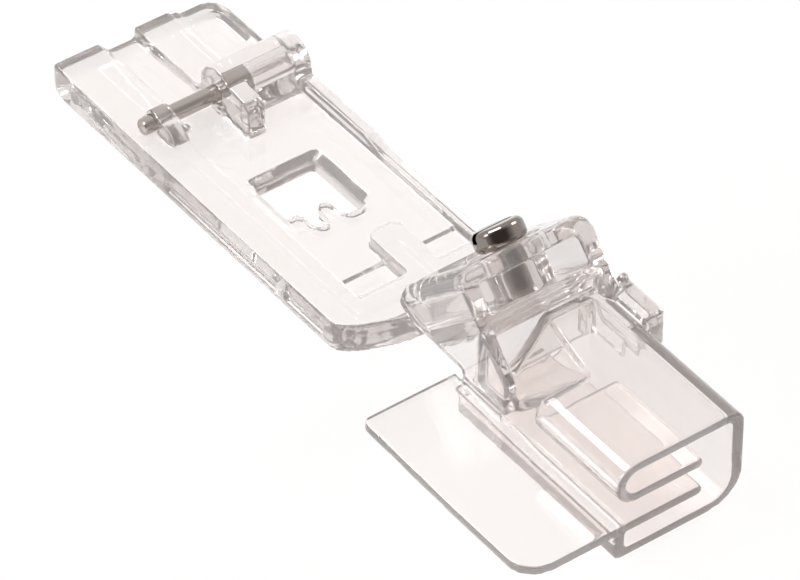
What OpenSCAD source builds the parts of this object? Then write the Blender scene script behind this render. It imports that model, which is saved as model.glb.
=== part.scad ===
// Tape binder for a sewing machine: a clear clip-on foot whose rising neck slides in a clear binder guide.
// X runs across the foot, Y from the toe (-) to the heel (+), Z up from the machine bed.
// The origin is on the bed, on the foot's middle line, right under the cross pin.

/* [Foot] */
// Width of the foot over its two rails
foot_w = 23.6; // [23:0.1:27]
// Distance from the cross pin back to the end of the heel
heel_len = 16.4; // [14:0.1:20]
// Distance from the cross pin forward to the tip of the curved toe
toe_len = 43.7; // [42:0.1:50]
// Radius of the curved toe edge, seen from above
toe_r = 21; // [18:0.5:30]
// Radius of the foot's corners, seen from above
corner_r = 3; // [1:0.1:4]
// Thickness of the sole plate
plate_t = 2.5; // [2:0.1:3]
// Height of the side rails and of the toe band
rail_h = 4; // [3.6:0.1:4.6]
// Height of the left rail at the heel's end
heel_h = 4.5; // [4:0.1:5.2]
// Width of the left rail
left_rail_w = 5.1; // [4:0.1:5.6]
// Width of the right rail
right_rail_w = 1.7; // [1:0.1:3]
// Depth of the toe band from the tip of the toe
toe_band = 6.3; // [5:0.1:8]
// Radius under the end of the heel
heel_r = 2.3; // [1:0.1:3]

/* [Needle slot] */
// Width of the needle slot at the sole
slot_w = 8.4; // [7:0.1:9]
// Length of the needle slot
slot_len = 10.5; // [9:0.1:11.5]
// Distance from the cross pin forward to the needle slot
slot_y = 13.4; // [12.5:0.1:15]
// Side offset of the needle slot's middle
slot_x = 0.2; // [-0.5:0.1:0.6]
// How far the slot widens towards its rim, at each side
slot_flare = 1.3; // [0.5:0.1:1.6]
// Length of the two guide fingers at the front of the slot
finger_len = 3.6; // [2:0.1:4.5]
// Width of a guide finger
finger_w = 1.9; // [1.2:0.1:2.2]

/* [Cross pin] */
// Diameter of the pin
pin_d = 2.1; // [1.6:0.1:2.4]
// Height of the pin's axis over the bed
pin_z = 4.9; // [4.8:0.1:5.6]
// Clear length of pin between its two supports
pin_gap = 6.6; // [6:0.1:7.4]
// Side offset of the middle of the clear length
pin_x = -3.1; // [-3.6:0.1:-2.6]
// How far the pin stands out of the left lug
pin_end = 1.5; // [0.8:0.1:2]
// How far the pin goes into the boss
pin_seat = 4.2; // [3:0.1:8]
// Thickness of the left lug
lug_t = 2.4; // [1.8:0.1:3]
// Radius of the left lug's rounded front
lug_r = 3.6; // [3:0.1:4]
// Radius of the boss round the pin's right end
boss_r = 3.3; // [2.6:0.1:3.8]

/* [Neck] */
// Slope of the neck and of the clamp box that slides on it
neck_tilt = 42.4; // [36:0.1:48]
// Length of the neck from the sole up to the face of the clamp box
neck_len = 23.5; // [22:0.1:27]
// Width of the neck
neck_w = 7.8; // [7:0.1:9]
// Thickness of the neck
neck_t = 3.5; // [2.8:0.1:4]
// Side offset of the neck's middle
neck_x = 2.4; // [1.8:0.1:3]
// Width of the low rib behind the neck
rib_w = 4.5; // [3:0.1:7]

/* [Clamp box] */
// Thickness of the sloping top panel
panel_t = 2.15; // [1.6:0.05:2.6]
// Length of the top panel down the slope
panel_len = 12.2; // [11:0.1:14]
// Side play of the binder to each side of its middle place
side_play = 2.75; // [1.5:0.05:3.2]
// Thickness of the pocket's floor
pocket_floor = 1.5; // [1:0.1:2.2]
// Thickness of the left web
left_web_t = 1.55; // [1.2:0.05:2]
// Thickness of the right web
right_web_t = 1.7; // [1.2:0.05:2.2]
// How much thicker each web is beside the pocket
web_land = 0.7; // [0.3:0.05:1]
// Length of the web's front edge down from the ridge
web_front = 13.87; // [12:0.1:15]
// Radius of the long upper edges of the clamp box
ridge_r = 2; // [0.5:0.1:2.1]

/* [Clamp screw] */
// Diameter of the screw's shank
shank_d = 3; // [2.5:0.1:3.6]
// Diameter of the screw's head
head_d = 6.3; // [5.5:0.1:7.5]
// Height of the screw's head
head_h = 2.5; // [1.8:0.1:3.2]
// Distance from the clamp box's face down the slope to the screw
screw_y = 4.3; // [4.2:0.1:5]

/* [Scroll] */
// Outer width of the scroll from its loop to its right wall
scroll_w = 17.4; // [17:0.1:19]
// Outer height of the scroll
scroll_h = 12.9; // [12.2:0.1:14]
// Length of the full scroll
scroll_len = 14.9; // [10:0.1:20]
// Wall of the scroll's plates
wall = 1.2; // [1:0.05:1.4]
// Wall of the scroll's right side
side_wall = 1.6; // [1.2:0.1:2]
// Clear height of the upper tape channel
upper_channel = 3; // [2.6:0.1:3.4]
// Clear height of the lower tape channel
lower_channel = 2.4; // [2:0.1:2.6]
// Gap between the free ends of the inner plates and the right wall
fold_gap = 4; // [3:0.1:5]
// Outer radius of the lower right corner
fold_r = 4.5; // [3:0.1:5]
// Width of the cloth flap beside the scroll
flap_w = 12.35; // [8:0.05:16]
// Slope of the flap's rear half, in degrees
flap_rise = 2; // [0:0.1:2.5]

/* [Hidden] */
$fn = 48;

// Clearances: a pressed fit, a turning fit, the neck in its pocket and the screw in its slot
press_gap = 0.01;
turn_gap = 0.05;
slide_gap = 0.08;
slot_gap = 0.2;
// Overlap that joins two shapes of one moulding, and the reach of a cut past a face
join = 0.05;
past = 1;

// Places on the foot
left = -foot_w / 2;
right = foot_w / 2;
left_rail_x = left + left_rail_w;
right_rail_x = right - right_rail_w;
toe_y = -toe_len;
band_y = toe_y + toe_band;
gap_left = pin_x - pin_gap / 2;
gap_right = pin_x + pin_gap / 2;
pin_r = pin_d / 2;
pin_left = gap_left - lug_t - pin_end;
pin_right = gap_right + pin_seat;
boss_end = right - 0.1;
bore_end = boss_end - 1.3;
slot_back = -slot_y;
slot_front = slot_back - slot_len;
pin_wall = 0.5;

// The sloping frame of the neck and the clamp box: its origin is the middle of the ridge,
// its y runs down the slope towards the foot, and its z stands off the panel
neck_top = -(panel_t + slide_gap);
neck_bottom = neck_top - neck_t;
pocket_bottom = neck_bottom - slide_gap;
floor_bottom = pocket_bottom - pocket_floor;
neck_root = 2.03;
root_y = toe_y + neck_root;
ridge_y = root_y - neck_len * cos(neck_tilt) - neck_bottom * sin(neck_tilt);
ridge_z = neck_len * sin(neck_tilt) - neck_bottom * cos(neck_tilt);
pocket_w = neck_w + 2 * side_play + 0.2;
pocket_left = neck_x - pocket_w / 2;
pocket_right = neck_x + pocket_w / 2;
web_in_left = pocket_left - web_land;
web_in_right = pocket_right + web_land - 0.2;
box_left = web_in_left - left_web_t;
box_right = web_in_right + right_web_t;

// Levels and places of the scroll
scroll_left = box_left - 0.35;
scroll_right = scroll_left + scroll_w;
inner_right = scroll_right - side_wall;
base_t = 1.1;
mid_bottom = base_t + lower_channel;
mid_top = mid_bottom + wall;
top_under = scroll_h - wall;
leg_top = top_under - upper_channel;
leg_bottom = leg_top - wall;
leg_end = inner_right - fold_gap;
scroll_back = ridge_y - 14.75;
scroll_front = scroll_back - scroll_len;
plate_back = ridge_y - 1.25;
flap_back = ridge_y + 0.25;
flap_fold = scroll_back - 0.5;
flap_left = scroll_left - flap_w;
cloth_gap = 0.8;
wall_y = ridge_y - 4.9;

// World place [y, z] of a point in the sloping frame
function on_slope(y, z) = [
    ridge_y + y * cos(neck_tilt) + z * sin(neck_tilt),
    ridge_z - y * sin(neck_tilt) + z * cos(neck_tilt)
];

// Points of the arc that rounds the corner at b, on the way from a to c, with radius r
function corner(a, b, c, r, n = 6) =
    let (
        u = (a - b) / norm(a - b),
        v = (c - b) / norm(c - b),
        half = acos(u * v) / 2,
        reach = r / tan(half),
        mid = (u + v) / norm(u + v),
        centre = b + mid * r / sin(half),
        p = b + u * reach - centre,
        q = b + v * reach - centre,
        sweep = 180 - 2 * half,
        turn = sign(p.x * q.y - p.y * q.x)
    )
    r <= 0 ? [b] : [
        for (i = [0:n])
            let (t = turn * sweep * i / n)
            centre + [p.x * cos(t) - p.y * sin(t), p.x * sin(t) + p.y * cos(t)]
    ];

// Outline with rounded corners, from points given as [x, y, radius]
function rounded(points, n = 6) = [
    for (i = [0:len(points) - 1])
        let (
            a = points[(i + len(points) - 1) % len(points)],
            b = points[i],
            c = points[(i + 1) % len(points)]
        )
        each corner([a.x, a.y], [b.x, b.y], [c.x, c.y], b.z, n)
];

// Depth of the toe's arc behind its tip at side place x
function toe_sag(x) = toe_r - sqrt(toe_r * toe_r - x * x);

// Extrudes a [y, z] outline from x0 to x1
module along_x(x0, x1) {
    translate([x0, 0, 0]) rotate([90, 0, 90]) linear_extrude(x1 - x0) children();
}

// Extrudes an [x, z] outline from y0 back to y1
module along_y(y0, y1) {
    translate([0, y1, 0]) rotate([90, 0, 0]) linear_extrude(y1 - y0) children();
}

// Moves shapes from the sloping frame to their place
module slope_frame() {
    translate([0, ridge_y, ridge_z]) rotate([-neck_tilt, 0, 0]) children();
}

// Block given by its two corners
module block(low, high) {
    translate(low) cube(high - low);
}

// The foot seen from above, with the toe's arc between its rounded front corners
module foot_outline() {
    side_y = toe_y + toe_sag(right);
    arc_x = right * 0.8;
    polygon(rounded([
        [left, heel_len, 0.8],
        [left, side_y, corner_r * 0.8],
        for (i = [-4:4]) [arc_x * i / 4, toe_y + toe_sag(arc_x * i / 4), 0],
        [right, side_y, corner_r * 0.8],
        [right, heel_len, corner_r]
    ]));
}

// Side view of the foot's solid: flat sole, round heel and a sloping toe edge
module foot_side() {
    polygon(rounded([
        [heel_len, 0, heel_r],
        [heel_len, heel_h, 0.9],
        [0, rail_h, 0],
        [toe_y + 0.9, rail_h, 0.5],
        [toe_y, rail_h - 1.6, 0],
        [toe_y, 0, 0.3]
    ]));
}

// Section across the heel: left rib, sloping channel wall, channel, right rib and the low outer shelf
module heel_section() {
    channel_left = left_rail_x + 1;
    rib_left = gap_right - 0.4;
    shelf_h = 3;
    polygon(rounded([
        [left, 0, 0.4],
        [right, 0, 0.4],
        [right, shelf_h, 0.4],
        [rib_left + 6.4, shelf_h, 0.2],
        [rib_left + 6.2, rail_h - 0.5, 0.1],
        [rib_left + 5.2, rail_h - 0.5, 0.1],
        [rib_left + 5, rail_h, 0.2],
        [rib_left, rail_h, 0.2],
        [rib_left, plate_t, 0.2],
        [channel_left + 1.9, plate_t, 0.3],
        [channel_left, heel_h, 0.4],
        [left, heel_h, 0.6]
    ], 3));
}

// Right rail: full height beside the needle slot's rear, ramping down towards the toe
module right_rail() {
    ramp_y = slot_back - 1.7;
    along_x(right_rail_x, right) polygon([
        [boss_r, 0],
        [boss_r, rail_h],
        [ramp_y, rail_h],
        [ramp_y - 3.5, rail_h - 0.9],
        [band_y - join, rail_h - 0.9],
        [band_y - join, 0]
    ]);
}

// Flat sole plate with its lower front step
module sole_plate() {
    step_y = band_y + 4.5;
    step = 0.4;
    along_x(left + join, right - join) polygon([
        [0, 0],
        [0, plate_t],
        [step_y, plate_t],
        [step_y, plate_t - step],
        [band_y - join, plate_t - step],
        [band_y - join, 0]
    ]);
}

// Needle slot, wider at its rim, with the two rounded fingers left standing at its front
module needle_slot() {
    x0 = slot_x - slot_w / 2;
    x1 = slot_x + slot_w / 2;
    rim = plate_t - 0.9;
    finger_root = slot_front + 0.1;
    difference() {
        union() {
            translate([0, 0, -past])
                linear_extrude(plate_t + 2 * past)
                    polygon(rounded([
                        [x0, slot_back, 0.4],
                        [x0, slot_front, 0.8],
                        [x1, slot_front, 0.8],
                        [x1, slot_back, 0.4]
                    ], 4));
            hull() {
                translate([0, 0, rim])
                    linear_extrude(0.01)
                        polygon([[x0, slot_back], [x0, slot_front + 1], [x1, slot_front + 1], [x1, slot_back]]);
                translate([0, 0, plate_t])
                    linear_extrude(past)
                        polygon(rounded([
                            [x0 - slot_flare, slot_back + 1, 1.2],
                            [x0 - slot_flare, slot_front + 0.4, 1],
                            [x1 + slot_flare, slot_front + 0.4, 1],
                            [x1 + slot_flare, slot_back + 1, 1.2]
                        ], 4));
            }
        }
        for (x = [x0 + finger_w / 2 - 0.3, slot_x + 0.4]) {
            finger(x, finger_root);
        }
    }
}

// One guide finger: a tapered bar with a round tip, wider at its root
module finger(x, root_y) {
    tip_y = root_y + finger_len;
    linear_extrude(plate_t - 0.5)
        polygon(rounded([
            [x - finger_w / 2 - 0.7, root_y - past, 0],
            [x + finger_w / 2 + 0.7, root_y - past, 0],
            [x + finger_w / 2 + 0.5, root_y + 0.3, 0.4],
            [x + finger_w / 2, root_y + 0.9, 0.4],
            [x + finger_w / 2 - 0.1, tip_y, finger_w * 0.4],
            [x - finger_w / 2 + 0.1, tip_y, finger_w * 0.4],
            [x - finger_w / 2, root_y + 0.9, 0.4],
            [x - finger_w / 2 - 0.5, root_y + 0.3, 0.4]
        ], 4));
}

// Left lug: a rounded cheek on the left rail that holds the pin's free end
module left_lug() {
    along_x(gap_left - lug_t, gap_left)
        intersection() {
            union() {
                translate([-0.9, plate_t]) circle(lug_r);
                translate([0, pin_z]) circle(pin_r + pin_wall);
            }
            translate([-2 * lug_r, 1]) square(4 * lug_r);
        }
}

// Right support: a thick cheek with a square front, running into the round boss
module right_support() {
    cheek_front = -boss_r * 2;
    along_x(gap_right, gap_right + lug_t)
        polygon(rounded([
            [boss_r, 1, 0],
            [boss_r, pin_z + boss_r - 0.6, 2.4],
            [cheek_front, pin_z + boss_r - 1.2, 1.6],
            [cheek_front, 1, 0]
        ]));
    along_x(gap_right, boss_end) {
        translate([0, pin_z]) circle(boss_r);
        translate([-boss_r, 1]) square([2 * boss_r, pin_z - 1]);
    }
}

// Ramp between the two supports, from the heel's channel down to the plate
module channel_ramp() {
    channel_left = left_rail_x - 0.3;
    along_x(channel_left, gap_right + join) polygon([
        [heel_len - 3, 1],
        [heel_len - 3, plate_t],
        [2, plate_t + 0.7],
        [0, plate_t + 0.6],
        [-boss_r * 1.7, plate_t],
        [-boss_r * 1.7, 1]
    ]);
}

// Low rib on the plate behind the neck, with a round rear end
module neck_rib() {
    back_y = slot_front - 5.3;
    linear_extrude(rail_h)
        polygon(rounded([
            [neck_x - rib_w / 2, back_y, rib_w * 0.3],
            [neck_x + rib_w / 2, back_y, rib_w * 0.3],
            [neck_x + rib_w / 2, toe_y + 2, 0],
            [neck_x - rib_w / 2, toe_y + 2, 0]
        ]));
}

// The rising neck with a round end about the screw
module neck() {
    difference() {
        slope_frame() translate([neck_x, 0, neck_bottom]) {
            block([-neck_w / 2, screw_y, 0], [neck_w / 2, neck_len + 4, neck_t]);
            translate([0, screw_y, 0]) cylinder(r = neck_w / 2, h = neck_t);
        }
        block([-foot_w, toe_y - past, -foot_w], [foot_w, heel_len, 0]);
        block([-foot_w, band_y, -past], [foot_w, heel_len, foot_w]);
    }
}

// Shallow round marks that ejector pins leave on a plate, 3 mm across
module ejector_marks() {
    mark_r = 1.5;
    mark_depth = 0.1;
    for (at = [[slot_x - 4.1, slot_back + 5], [slot_x + 8, slot_back + 4], [slot_x + 8, slot_front - 2.2]]) {
        translate([at.x, at.y, plate_t - mark_depth]) cylinder(r = mark_r, h = past);
    }
}

// Hollows low in the left side, with a bar between them
module side_hollows() {
    low = 0.7;
    high = 2.1;
    depth = 0.7;
    bar_y = slot_front - 4.5;
    for (ends = [[bar_y, -slot_y / 2], [band_y, bar_y - 1.5]]) {
        along_x(left - past, left + depth)
            polygon(rounded([
                [ends[0], low, 0.3],
                [ends[1], low, 0.3],
                [ends[1], high, 0.3],
                [ends[0], high, 0.3]
            ], 3));
    }
}

// Sunk panel in the right shelf of the heel
module heel_panel() {
    shelf_h = 3;
    depth = 0.8;
    margin = 1.4;
    translate([0, 0, shelf_h - depth])
        linear_extrude(past * 2)
            polygon(rounded([
                [gap_right + 6.2, heel_len - 1.9, 0.6],
                [gap_right + 6.2, boss_r + 4.2, 0.6],
                [right - margin, boss_r + 4.2, 0.6],
                [right - margin, heel_len - 1.9, corner_r * 0.6]
            ], 4));
}

// The clear foot, one moulding from the heel to the end of the neck
module foot_body() {
    color([0.93, 0.9, 0.89, 0.6])
    difference() {
        union() {
            intersection() {
                linear_extrude(heel_h + past) foot_outline();
                along_x(left, right) foot_side();
                union() {
                    block([left, toe_y, 0], [left_rail_x, heel_len, heel_h]);
                    block([left, toe_y, 0], [right, band_y, rail_h]);
                    along_y(-boss_r * 0.5, heel_len) heel_section();
                    sole_plate();
                    right_rail();
                }
            }
            channel_ramp();
            left_lug();
            right_support();
            neck_rib();
            neck();
        }
        needle_slot();
        ejector_marks();
        side_hollows();
        heel_panel();
        translate([pin_left - past, 0, pin_z])
            rotate([0, 90, 0]) cylinder(r = pin_r + press_gap, h = bore_end - pin_left + past);
        slope_frame() translate([neck_x, screw_y, neck_bottom - past])
            cylinder(r = shank_d / 2 + turn_gap, h = neck_t + 2 * past);
    }
}

// Cross pin, pressed through the left lug and into the boss
module snap_pin() {
    bevel = 0.15;
    color([0.75, 0.72, 0.7])
    translate([pin_left, 0, pin_z])
        rotate([0, 90, 0])
            rotate_extrude()
                polygon([
                    [0, 0],
                    [pin_r - bevel, 0],
                    [pin_r, bevel],
                    [pin_r, pin_right - pin_left - bevel],
                    [pin_r - bevel, pin_right - pin_left],
                    [0, pin_right - pin_left]
                ]);
}

// Side view of the clamp box, ridge at the top, with its foot low enough to guard the cloth
module web_side() {
    rear = on_slope(panel_len + 1.9, 0);
    front = on_slope(0, -web_front);
    polygon(rounded([
        [ridge_y, ridge_z, 0.6],
        [front.x, front.y, 0.8],
        [front.x, mid_top + cloth_gap, 0.7],
        [plate_back, mid_top + cloth_gap, 0.3],
        [plate_back, mid_top + 1.9, 0.3],
        [ridge_y + 7.75, mid_top + 2.2, 0.6],
        [rear.x, mid_top + 3.3, 0.8],
        [rear.x, rear.y, 1]
    ]));
}

// Section across the slope: two webs under a round-edged panel, and the floor of the pocket
module box_section() {
    deep = ridge_z * 1.6;
    difference() {
        polygon(rounded([
            [box_left, -deep, 0],
            [box_right, -deep, 0],
            [box_right, 0, ridge_r],
            [box_left, 0, ridge_r]
        ]));
        translate([pocket_left, pocket_bottom]) square([pocket_w, neck_t + 2 * slide_gap]);
        translate([web_in_left, -deep - past])
            square([web_in_right - web_in_left, deep + past + floor_bottom]);
    }
}

// Extrudes an [x, z] outline of the sloping frame all the way down the slope
module down_slope() {
    slope_frame() translate([0, neck_len * 2, 0]) rotate([90, 0, 0]) linear_extrude(neck_len * 4) children();
}

// Clamp box with its pocket, its webs and the slot for the clamp screw
module clamp_box() {
    slot_r = shank_d / 2 + slot_gap;
    difference() {
        intersection() {
            down_slope() box_section();
            along_x(box_left - past, box_right + past) web_side();
        }
        slope_frame() {
            block([web_in_left, panel_len, -panel_t - join], [web_in_right, panel_len * 2, past]);
            translate([neck_x, screw_y, -panel_t - join]) {
                for (side = [-1, 1]) {
                    translate([side * side_play, 0, 0]) cylinder(r = slot_r, h = panel_t + past);
                }
                block([-side_play, -slot_r, 0], [side_play, slot_r, panel_t + past]);
            }
        }
    }
}

// Full section of the scroll: one wall that folds round the lower and upper channels
module scroll_section() {
    tip = wall * 0.48;
    polygon(rounded([
        [scroll_left - 0.25, 0, 0.6],
        [scroll_right, 0, fold_r],
        [scroll_right, scroll_h, 2],
        [scroll_left, scroll_h, 2.4],
        [scroll_left, leg_bottom, 2.4],
        [leg_end, leg_bottom, tip],
        [leg_end, leg_top, tip],
        [scroll_left + wall, leg_top, upper_channel * 0.45],
        [scroll_left + wall, top_under, upper_channel * 0.45],
        [inner_right, top_under, 0.8],
        [inner_right, base_t, fold_r - side_wall],
        [scroll_left + wall, base_t, 0.3],
        [scroll_left + wall, mid_bottom, 0.3],
        [leg_end, mid_bottom, tip],
        [leg_end, mid_top, tip],
        [scroll_left - 0.25, mid_top, 0]
    ], 5));
}

// Section behind the full scroll: the lower channel and the foot of the right wall
module rear_section() {
    polygon(rounded([
        [scroll_left - 0.25, 0, 0.6],
        [scroll_right, 0, fold_r],
        [scroll_right, leg_top, 0.3],
        [inner_right, leg_top, 0.3],
        [inner_right, base_t, fold_r - side_wall],
        [scroll_left + wall, base_t, 0.3],
        [scroll_left + wall, mid_bottom, 0.3],
        [leg_end, mid_bottom, wall * 0.48],
        [leg_end, mid_top, wall * 0.48],
        [scroll_left - 0.25, mid_top, 0]
    ], 5));
}

// Upper part of the right wall, turning into the top plate
module wall_section() {
    polygon(rounded([
        [scroll_right, leg_bottom, 0],
        [scroll_right, scroll_h, 2],
        [inner_right - 1.5, scroll_h, 0],
        [inner_right - 1.5, top_under, 0],
        [inner_right, top_under, 0.8],
        [inner_right, leg_bottom, 0]
    ], 5));
}

// Flap and middle plate corners seen from above
module flap_outline() {
    polygon(rounded([
        [flap_left, scroll_front, 3.5],
        [scroll_right + past, scroll_front, 0],
        [scroll_right + past, flap_back, 0],
        [flap_left, flap_back, 1.2]
    ]));
}

// Cloth flap: level beside the scroll, its rear half rising a little
module flap() {
    rise = (flap_back - flap_fold) * tan(flap_rise);
    intersection() {
        linear_extrude(scroll_h) flap_outline();
        along_x(flap_left, scroll_left + wall / 2) polygon([
            [scroll_front, mid_bottom],
            [flap_fold, mid_bottom],
            [flap_back, mid_bottom + rise],
            [flap_back, mid_top + rise],
            [flap_fold, mid_top],
            [scroll_front, mid_top]
        ]);
    }
}

// Bowl above the tape's path, between the left web and the top plate; grow makes its outer skin
module bowl(grow) {
    right_x = neck_x - 1;
    deep_y = ridge_y - 8.6;
    back_y = ridge_y - 4.6;
    low = mid_top + 2.1;
    hull() {
        translate([0, 0, scroll_h - 0.01])
            linear_extrude(past)
                polygon(rounded([
                    [scroll_left - 4, back_y, 0],
                    [scroll_left - 4, scroll_back - 1.3 - grow, 0],
                    [right_x - 1.1 + grow, scroll_back - 0.7 - grow, 2],
                    [right_x + 1.1 + grow, back_y, 0]
                ], 5));
        translate([0, 0, low - grow])
            linear_extrude(0.01)
                polygon(rounded([
                    [scroll_left - 4, back_y, 0],
                    [scroll_left - 4, deep_y - grow, 0],
                    [right_x - 4.6, deep_y - grow, 1.2],
                    [right_x - 3.6, back_y, 0]
                ], 5));
    }
}

// Top plate behind the full scroll, the bowl let into it, and the wall below the pocket
module funnel() {
    floor_front = on_slope(0, floor_bottom);
    skin = 1.1;
    difference() {
        union() {
            block([neck_x - 5, scroll_back - past, top_under], [inner_right + join, wall_y + 1.4, scroll_h]);
            intersection() {
                bowl(skin);
                block([web_in_left - join, scroll_back - 3, mid_top + cloth_gap],
                      [inner_right, wall_y + join, scroll_h]);
            }
            block([web_in_left - join, wall_y - join, mid_top + 1.3],
                  [web_in_right + join, wall_y + 1.4, floor_front.y + 0.6]);
        }
        bowl(0);
    }
}

// Rib outside the right wall that ties the web to the scroll, with its small nub
module side_rib() {
    rib_x = box_right + 1.9;
    rib_back = ridge_y - 4.5;
    nub_r = 0.6;
    along_x(scroll_right - join, rib_x)
        polygon(rounded([
            [rib_back, leg_bottom, 0.6],
            [rib_back, scroll_h - 0.1, 0.5],
            [rib_back - 7.4, scroll_h - 0.1, 0.5],
            [rib_back - 7.4, leg_bottom, 0.6]
        ], 4));
    along_x(rib_x - 1, rib_x)
        translate([rib_back - nub_r, scroll_h - 0.1]) circle(nub_r);
}

// The clear binder guide, one moulding: clamp box, funnel, scroll and flap
module binder_guide() {
    color([0.93, 0.9, 0.89, 0.6])
    union() {
        clamp_box();
        difference() {
            along_y(scroll_front, scroll_back) scroll_section();
            bowl(0);
        }
        along_y(scroll_back - join, plate_back) rear_section();
        along_y(scroll_back - join, wall_y + 1.4) wall_section();
        flap();
        funnel();
        side_rib();
    }
}

// Clamp screw: slotted round head on the panel, shank down into the neck
module clamp_screw() {
    edge = 0.8;
    slot_t = 0.9;
    slot_deep = 1.1;
    seat = 0.02;
    shank_len = panel_t + slide_gap + neck_t - 0.3;
    color([0.55, 0.52, 0.5])
    slope_frame() translate([neck_x, screw_y, seat])
        difference() {
            rotate_extrude()
                polygon(concat(
                    [[0, -shank_len], [shank_d / 2 - 0.3, -shank_len], [shank_d / 2, 0.3 - shank_len],
                     [shank_d / 2, 0]],
                    corner([shank_d / 2, 0], [head_d / 2, 0], [head_d / 2, head_h], edge),
                    corner([head_d / 2, 0], [head_d / 2, head_h], [0, head_h], edge),
                    [[0, head_h]]
                ));
            block([-head_d, -slot_t / 2, head_h - slot_deep], [head_d, slot_t / 2, head_h + past]);
        }
}

foot_body();
snap_pin();
binder_guide();
clamp_screw();
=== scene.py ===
import math
import bpy
import numpy as np
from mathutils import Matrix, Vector


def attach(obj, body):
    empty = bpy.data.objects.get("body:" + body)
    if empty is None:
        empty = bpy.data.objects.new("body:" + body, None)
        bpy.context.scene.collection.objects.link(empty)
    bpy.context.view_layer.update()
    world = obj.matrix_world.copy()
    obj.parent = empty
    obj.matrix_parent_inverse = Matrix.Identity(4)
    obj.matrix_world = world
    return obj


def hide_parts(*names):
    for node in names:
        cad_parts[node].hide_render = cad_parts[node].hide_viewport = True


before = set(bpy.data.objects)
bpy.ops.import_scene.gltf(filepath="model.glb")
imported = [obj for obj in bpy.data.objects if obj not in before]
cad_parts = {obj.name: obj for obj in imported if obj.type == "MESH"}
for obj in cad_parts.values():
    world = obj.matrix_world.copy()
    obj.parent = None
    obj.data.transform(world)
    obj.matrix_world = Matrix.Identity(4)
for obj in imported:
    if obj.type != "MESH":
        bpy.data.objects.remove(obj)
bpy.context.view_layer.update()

MM = 0.001


# ------------------------------------------------------------------ helpers
def linear(hex_colour):
    """The linear colour of an sRGB hex colour, with alpha 1: c / 12.92 below 0.04045, else ((c + 0.055) / 1.055) ** 2.4."""
    c = np.array([int(hex_colour[i:i + 2], 16) for i in (1, 3, 5)]) / 255
    c = np.where(c <= 0.04045, c / 12.92, ((c + 0.055) / 1.055) ** 2.4)
    return (*c.tolist(), 1.0)


def add(tree, kind, settings=None, values=None, links=None):
    """Adds one node with its settings, socket values and incoming links."""
    n = tree.nodes.new(kind)
    for key, value in (settings or {}).items():
        setattr(n, key, value)
    for key, value in (values or {}).items():
        n.inputs[key].default_value = value
    for key, source in (links or {}).items():
        tree.links.new(source, n.inputs[key])
    return n


def new_material(name):
    """A named material with an empty tree and its output node."""
    m = bpy.data.materials.new(name)
    m.use_nodes = True
    m.node_tree.nodes.clear()
    return m, m.node_tree, add(m.node_tree, "ShaderNodeOutputMaterial")


def welded_copy(node, name):
    """A copy of a CAD node's mesh with its loose triangles joined at their shared corners."""
    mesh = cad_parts[node].data.copy()
    mesh.name = name
    mesh.materials.clear()
    piece = bpy.data.objects.new(name, mesh)
    bpy.context.scene.collection.objects.link(piece)
    weld = piece.modifiers.new("weld", "WELD")
    weld.merge_threshold = 0.001 * MM
    return piece


def settle_mesh(piece):
    """Puts the result of the piece's modifiers into its own mesh."""
    dg = bpy.context.evaluated_depsgraph_get()
    done = bpy.data.meshes.new_from_object(piece.evaluated_get(dg), depsgraph=dg)
    piece.modifiers.clear()
    piece.data = done
    return piece


def moulded(node, name, cell, passes, body, material):
    """A CAD moulding with the small round that a mould leaves on every edge: its surface is rebuilt on a grid of
    the given cell and each point is moved towards the middle of its neighbours a few times."""
    piece = welded_copy(node, name)
    grid = piece.modifiers.new("grid", "REMESH")
    grid.mode = "VOXEL"
    grid.voxel_size = cell
    grid.use_smooth_shade = True
    soft = piece.modifiers.new("soft", "SMOOTH")
    soft.factor = 0.5
    soft.iterations = passes
    settle_mesh(piece)
    piece.data.materials.clear()
    piece.data.materials.append(material)
    piece.data.shade_smooth()
    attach(piece, body)
    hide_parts(node)
    return piece


# ---------------------------------------------------------------- materials
def clear_plastic(name, tint, haze, depth):
    """Injection-moulded polycarbonate: glass-clear, a trace of pink-grey in its depth, faint flow waves in its skin."""
    m, t, out = new_material(name)
    place = add(t, "ShaderNodeTexCoord")
    waves = add(t, "ShaderNodeTexNoise", values={"Scale": 1 / (6 * MM), "Detail": 3, "Roughness": 0.45},
                links={"Vector": place.outputs["Object"]})
    skin = add(t, "ShaderNodeBump", values={"Strength": 0.4, "Distance": 0.12 * MM}, links={"Height": waves.outputs["Fac"]})
    glass = add(t, "ShaderNodeBsdfPrincipled",
                values={"Base Color": linear("#F5F2F1"), "Roughness": haze, "IOR": 1.58, "Transmission Weight": 0.9},
                links={"Normal": skin.outputs[0]})
    passing = add(t, "ShaderNodeBsdfTransparent", values={"Color": linear("#F4F1F0")})
    path = add(t, "ShaderNodeLightPath")
    both = add(t, "ShaderNodeMixShader", links={0: path.outputs["Is Shadow Ray"], 1: glass.outputs[0], 2: passing.outputs[0]})
    t.links.new(both.outputs[0], out.inputs["Surface"])
    deep = add(t, "ShaderNodeVolumeAbsorption", values={"Color": linear(tint), "Density": depth})
    t.links.new(deep.outputs[0], out.inputs["Volume"])
    return m


def bright_metal(name, colour, rough):
    """A bright, hard metal."""
    m, t, out = new_material(name)
    steel = add(t, "ShaderNodeBsdfPrincipled", values={"Base Color": linear(colour), "Metallic": 1.0, "Roughness": rough})
    t.links.new(steel.outputs[0], out.inputs["Surface"])
    return m


foot_plastic = clear_plastic("clear_polycarbonate_foot", "#DDD7D4", 0.04, 50)
guide_plastic = clear_plastic("clear_polycarbonate_guide", "#DDD7D4", 0.04, 50)
pin_steel = bright_metal("drawn_steel_pin", "#B9B2AE", 0.14)
# the screw's colour is nickel plating's grey darkened well below real nickel: painted dark reflection, standing in for
# the dark room that its head mirrors
screw_chrome = bright_metal("nickel_screw_painted_dark_reflection", "#8E8681", 0.1)

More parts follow.
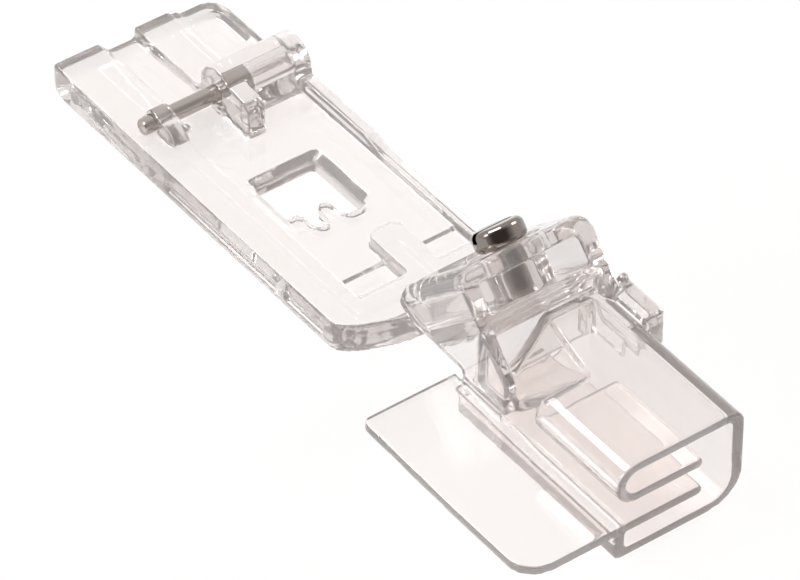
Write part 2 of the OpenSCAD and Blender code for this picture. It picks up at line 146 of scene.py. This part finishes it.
foot = moulded("foot_body", "foot_moulding", 0.25 * MM, 4, "foot", foot_plastic)
guide = moulded("binder_guide", "binder_moulding", 0.27 * MM, 4, "binder", guide_plastic)

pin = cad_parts["snap_pin"]
pin.data.materials.clear()
pin.data.materials.append(pin_steel)
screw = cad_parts["clamp_screw"]
screw.data.materials.clear()
screw.data.materials.append(screw_chrome)


# ------------------------------------------------------- floor, world, lamps
def studio():
    m, t, out = new_material("white_table")
    path = add(t, "ShaderNodeLightPath")
    seen = add(t, "ShaderNodeMath", {"operation": "MAXIMUM"}, links={0: path.outputs["Is Camera Ray"], 1: path.outputs["Is Transmission Ray"]})
    seen = add(t, "ShaderNodeMath", {"operation": "MAXIMUM"}, links={0: seen.outputs[0], 1: path.outputs["Is Glossy Ray"]})
    share = add(t, "ShaderNodeMath", {"operation": "MULTIPLY"}, values={1: 0.8}, links={0: seen.outputs[0]})
    lit = add(t, "ShaderNodeBsdfDiffuse", values={"Color": linear("#F4F3F2")})
    white = add(t, "ShaderNodeEmission", values={"Color": (1, 1, 1, 1), "Strength": 1.0})
    both = add(t, "ShaderNodeMixShader", links={0: share.outputs[0], 1: lit.outputs[0], 2: white.outputs[0]})
    t.links.new(both.outputs[0], out.inputs["Surface"])
    side = 3.0
    mesh = bpy.data.meshes.new("table")
    mesh.from_pydata([(-side, -side, 0), (side, -side, 0), (side, side, 0), (-side, side, 0)], [], [(0, 1, 2, 3)])
    mesh.materials.append(m)
    table = bpy.data.objects.new("table", mesh)
    table.location.z = -0.02 * MM
    bpy.context.scene.collection.objects.link(table)

    world = bpy.data.worlds.new("studio")
    bpy.context.scene.world = world
    world.use_nodes = True
    t = world.node_tree
    t.nodes.clear()
    out = add(t, "ShaderNodeOutputWorld")
    path = add(t, "ShaderNodeLightPath")
    way = add(t, "ShaderNodeTexCoord")
    # the dark half of the room, on the side that the photographer stands on
    dark_side = add(t, "ShaderNodeVectorMath", {"operation": "DOT_PRODUCT"}, values={1: (-0.44, -0.60, 0.67)}, links={0: way.outputs["Generated"]})
    shade = add(t, "ShaderNodeValToRGB", links={0: dark_side.outputs["Value"]})
    ramp = shade.color_ramp
    ramp.elements[0].position = 0.35
    ramp.elements[0].color = linear("#F2EFED")
    ramp.elements[1].position = 0.85
    ramp.elements[1].color = linear("#5E5653")
    room = add(t, "ShaderNodeBackground", values={"Strength": 1.0}, links={"Color": shade.outputs["Color"]})
    fill = add(t, "ShaderNodeBackground", values={"Color": linear("#F4F2F0"), "Strength": 0.42})
    white = add(t, "ShaderNodeBackground", values={"Color": (1, 1, 1, 1), "Strength": 1.0})
    seen = add(t, "ShaderNodeMath", {"operation": "MAXIMUM"}, links={0: path.outputs["Is Transmission Ray"], 1: path.outputs["Is Glossy Ray"]})
    a = add(t, "ShaderNodeMixShader", links={0: seen.outputs[0], 1: fill.outputs[0], 2: room.outputs[0]})
    b = add(t, "ShaderNodeMixShader", links={0: path.outputs["Is Camera Ray"], 1: a.outputs[0], 2: white.outputs[0]})
    t.links.new(b.outputs[0], out.inputs["Surface"])

    for name, place, size, watts in (
        ("lamp_over", (-0.15, 0.25, 0.55), 0.35, 2.7),
        ("lamp_right", (0.55, -0.10, 0.45), 0.25, 1.35),
        ("lamp_left", (-0.60, 0.10, 0.30), 0.25, 0.9),
    ):
        lamp = bpy.data.lights.new(name, "AREA")
        lamp.shape = "SQUARE"
        lamp.size = size
        lamp.energy = watts
        o = bpy.data.objects.new(name, lamp)
        o.location = place
        o.rotation_euler = (Vector((0, -0.035, 0.01)) - Vector(place)).to_track_quat("-Z", "Y").to_euler()
        bpy.context.scene.collection.objects.link(o)


studio()

# ------------------------------------------------------------------- camera
lens = bpy.data.cameras.new("photo")
lens.sensor_width = 36
lens.lens = 292.5
lens.clip_start = 0.01
lens.clip_end = 20
camera = bpy.data.objects.new("photo", lens)
bpy.context.scene.collection.objects.link(camera)
camera.location = (-0.32485, -0.4751, 0.4921)
azimuth, elevation = math.radians(-36.5), math.radians(42)
back = Vector((math.sin(azimuth) * math.cos(elevation), -math.cos(azimuth) * math.cos(elevation), math.sin(elevation)))
camera.rotation_euler = (-back).to_track_quat("-Z", "Y").to_euler()
bpy.context.scene.camera = camera

bpy.context.scene.view_settings.view_transform = "Standard"
bpy.context.scene.cycles.max_bounces = 32
bpy.context.scene.cycles.transmission_bounces = 32
bpy.context.scene.cycles.transparent_max_bounces = 32
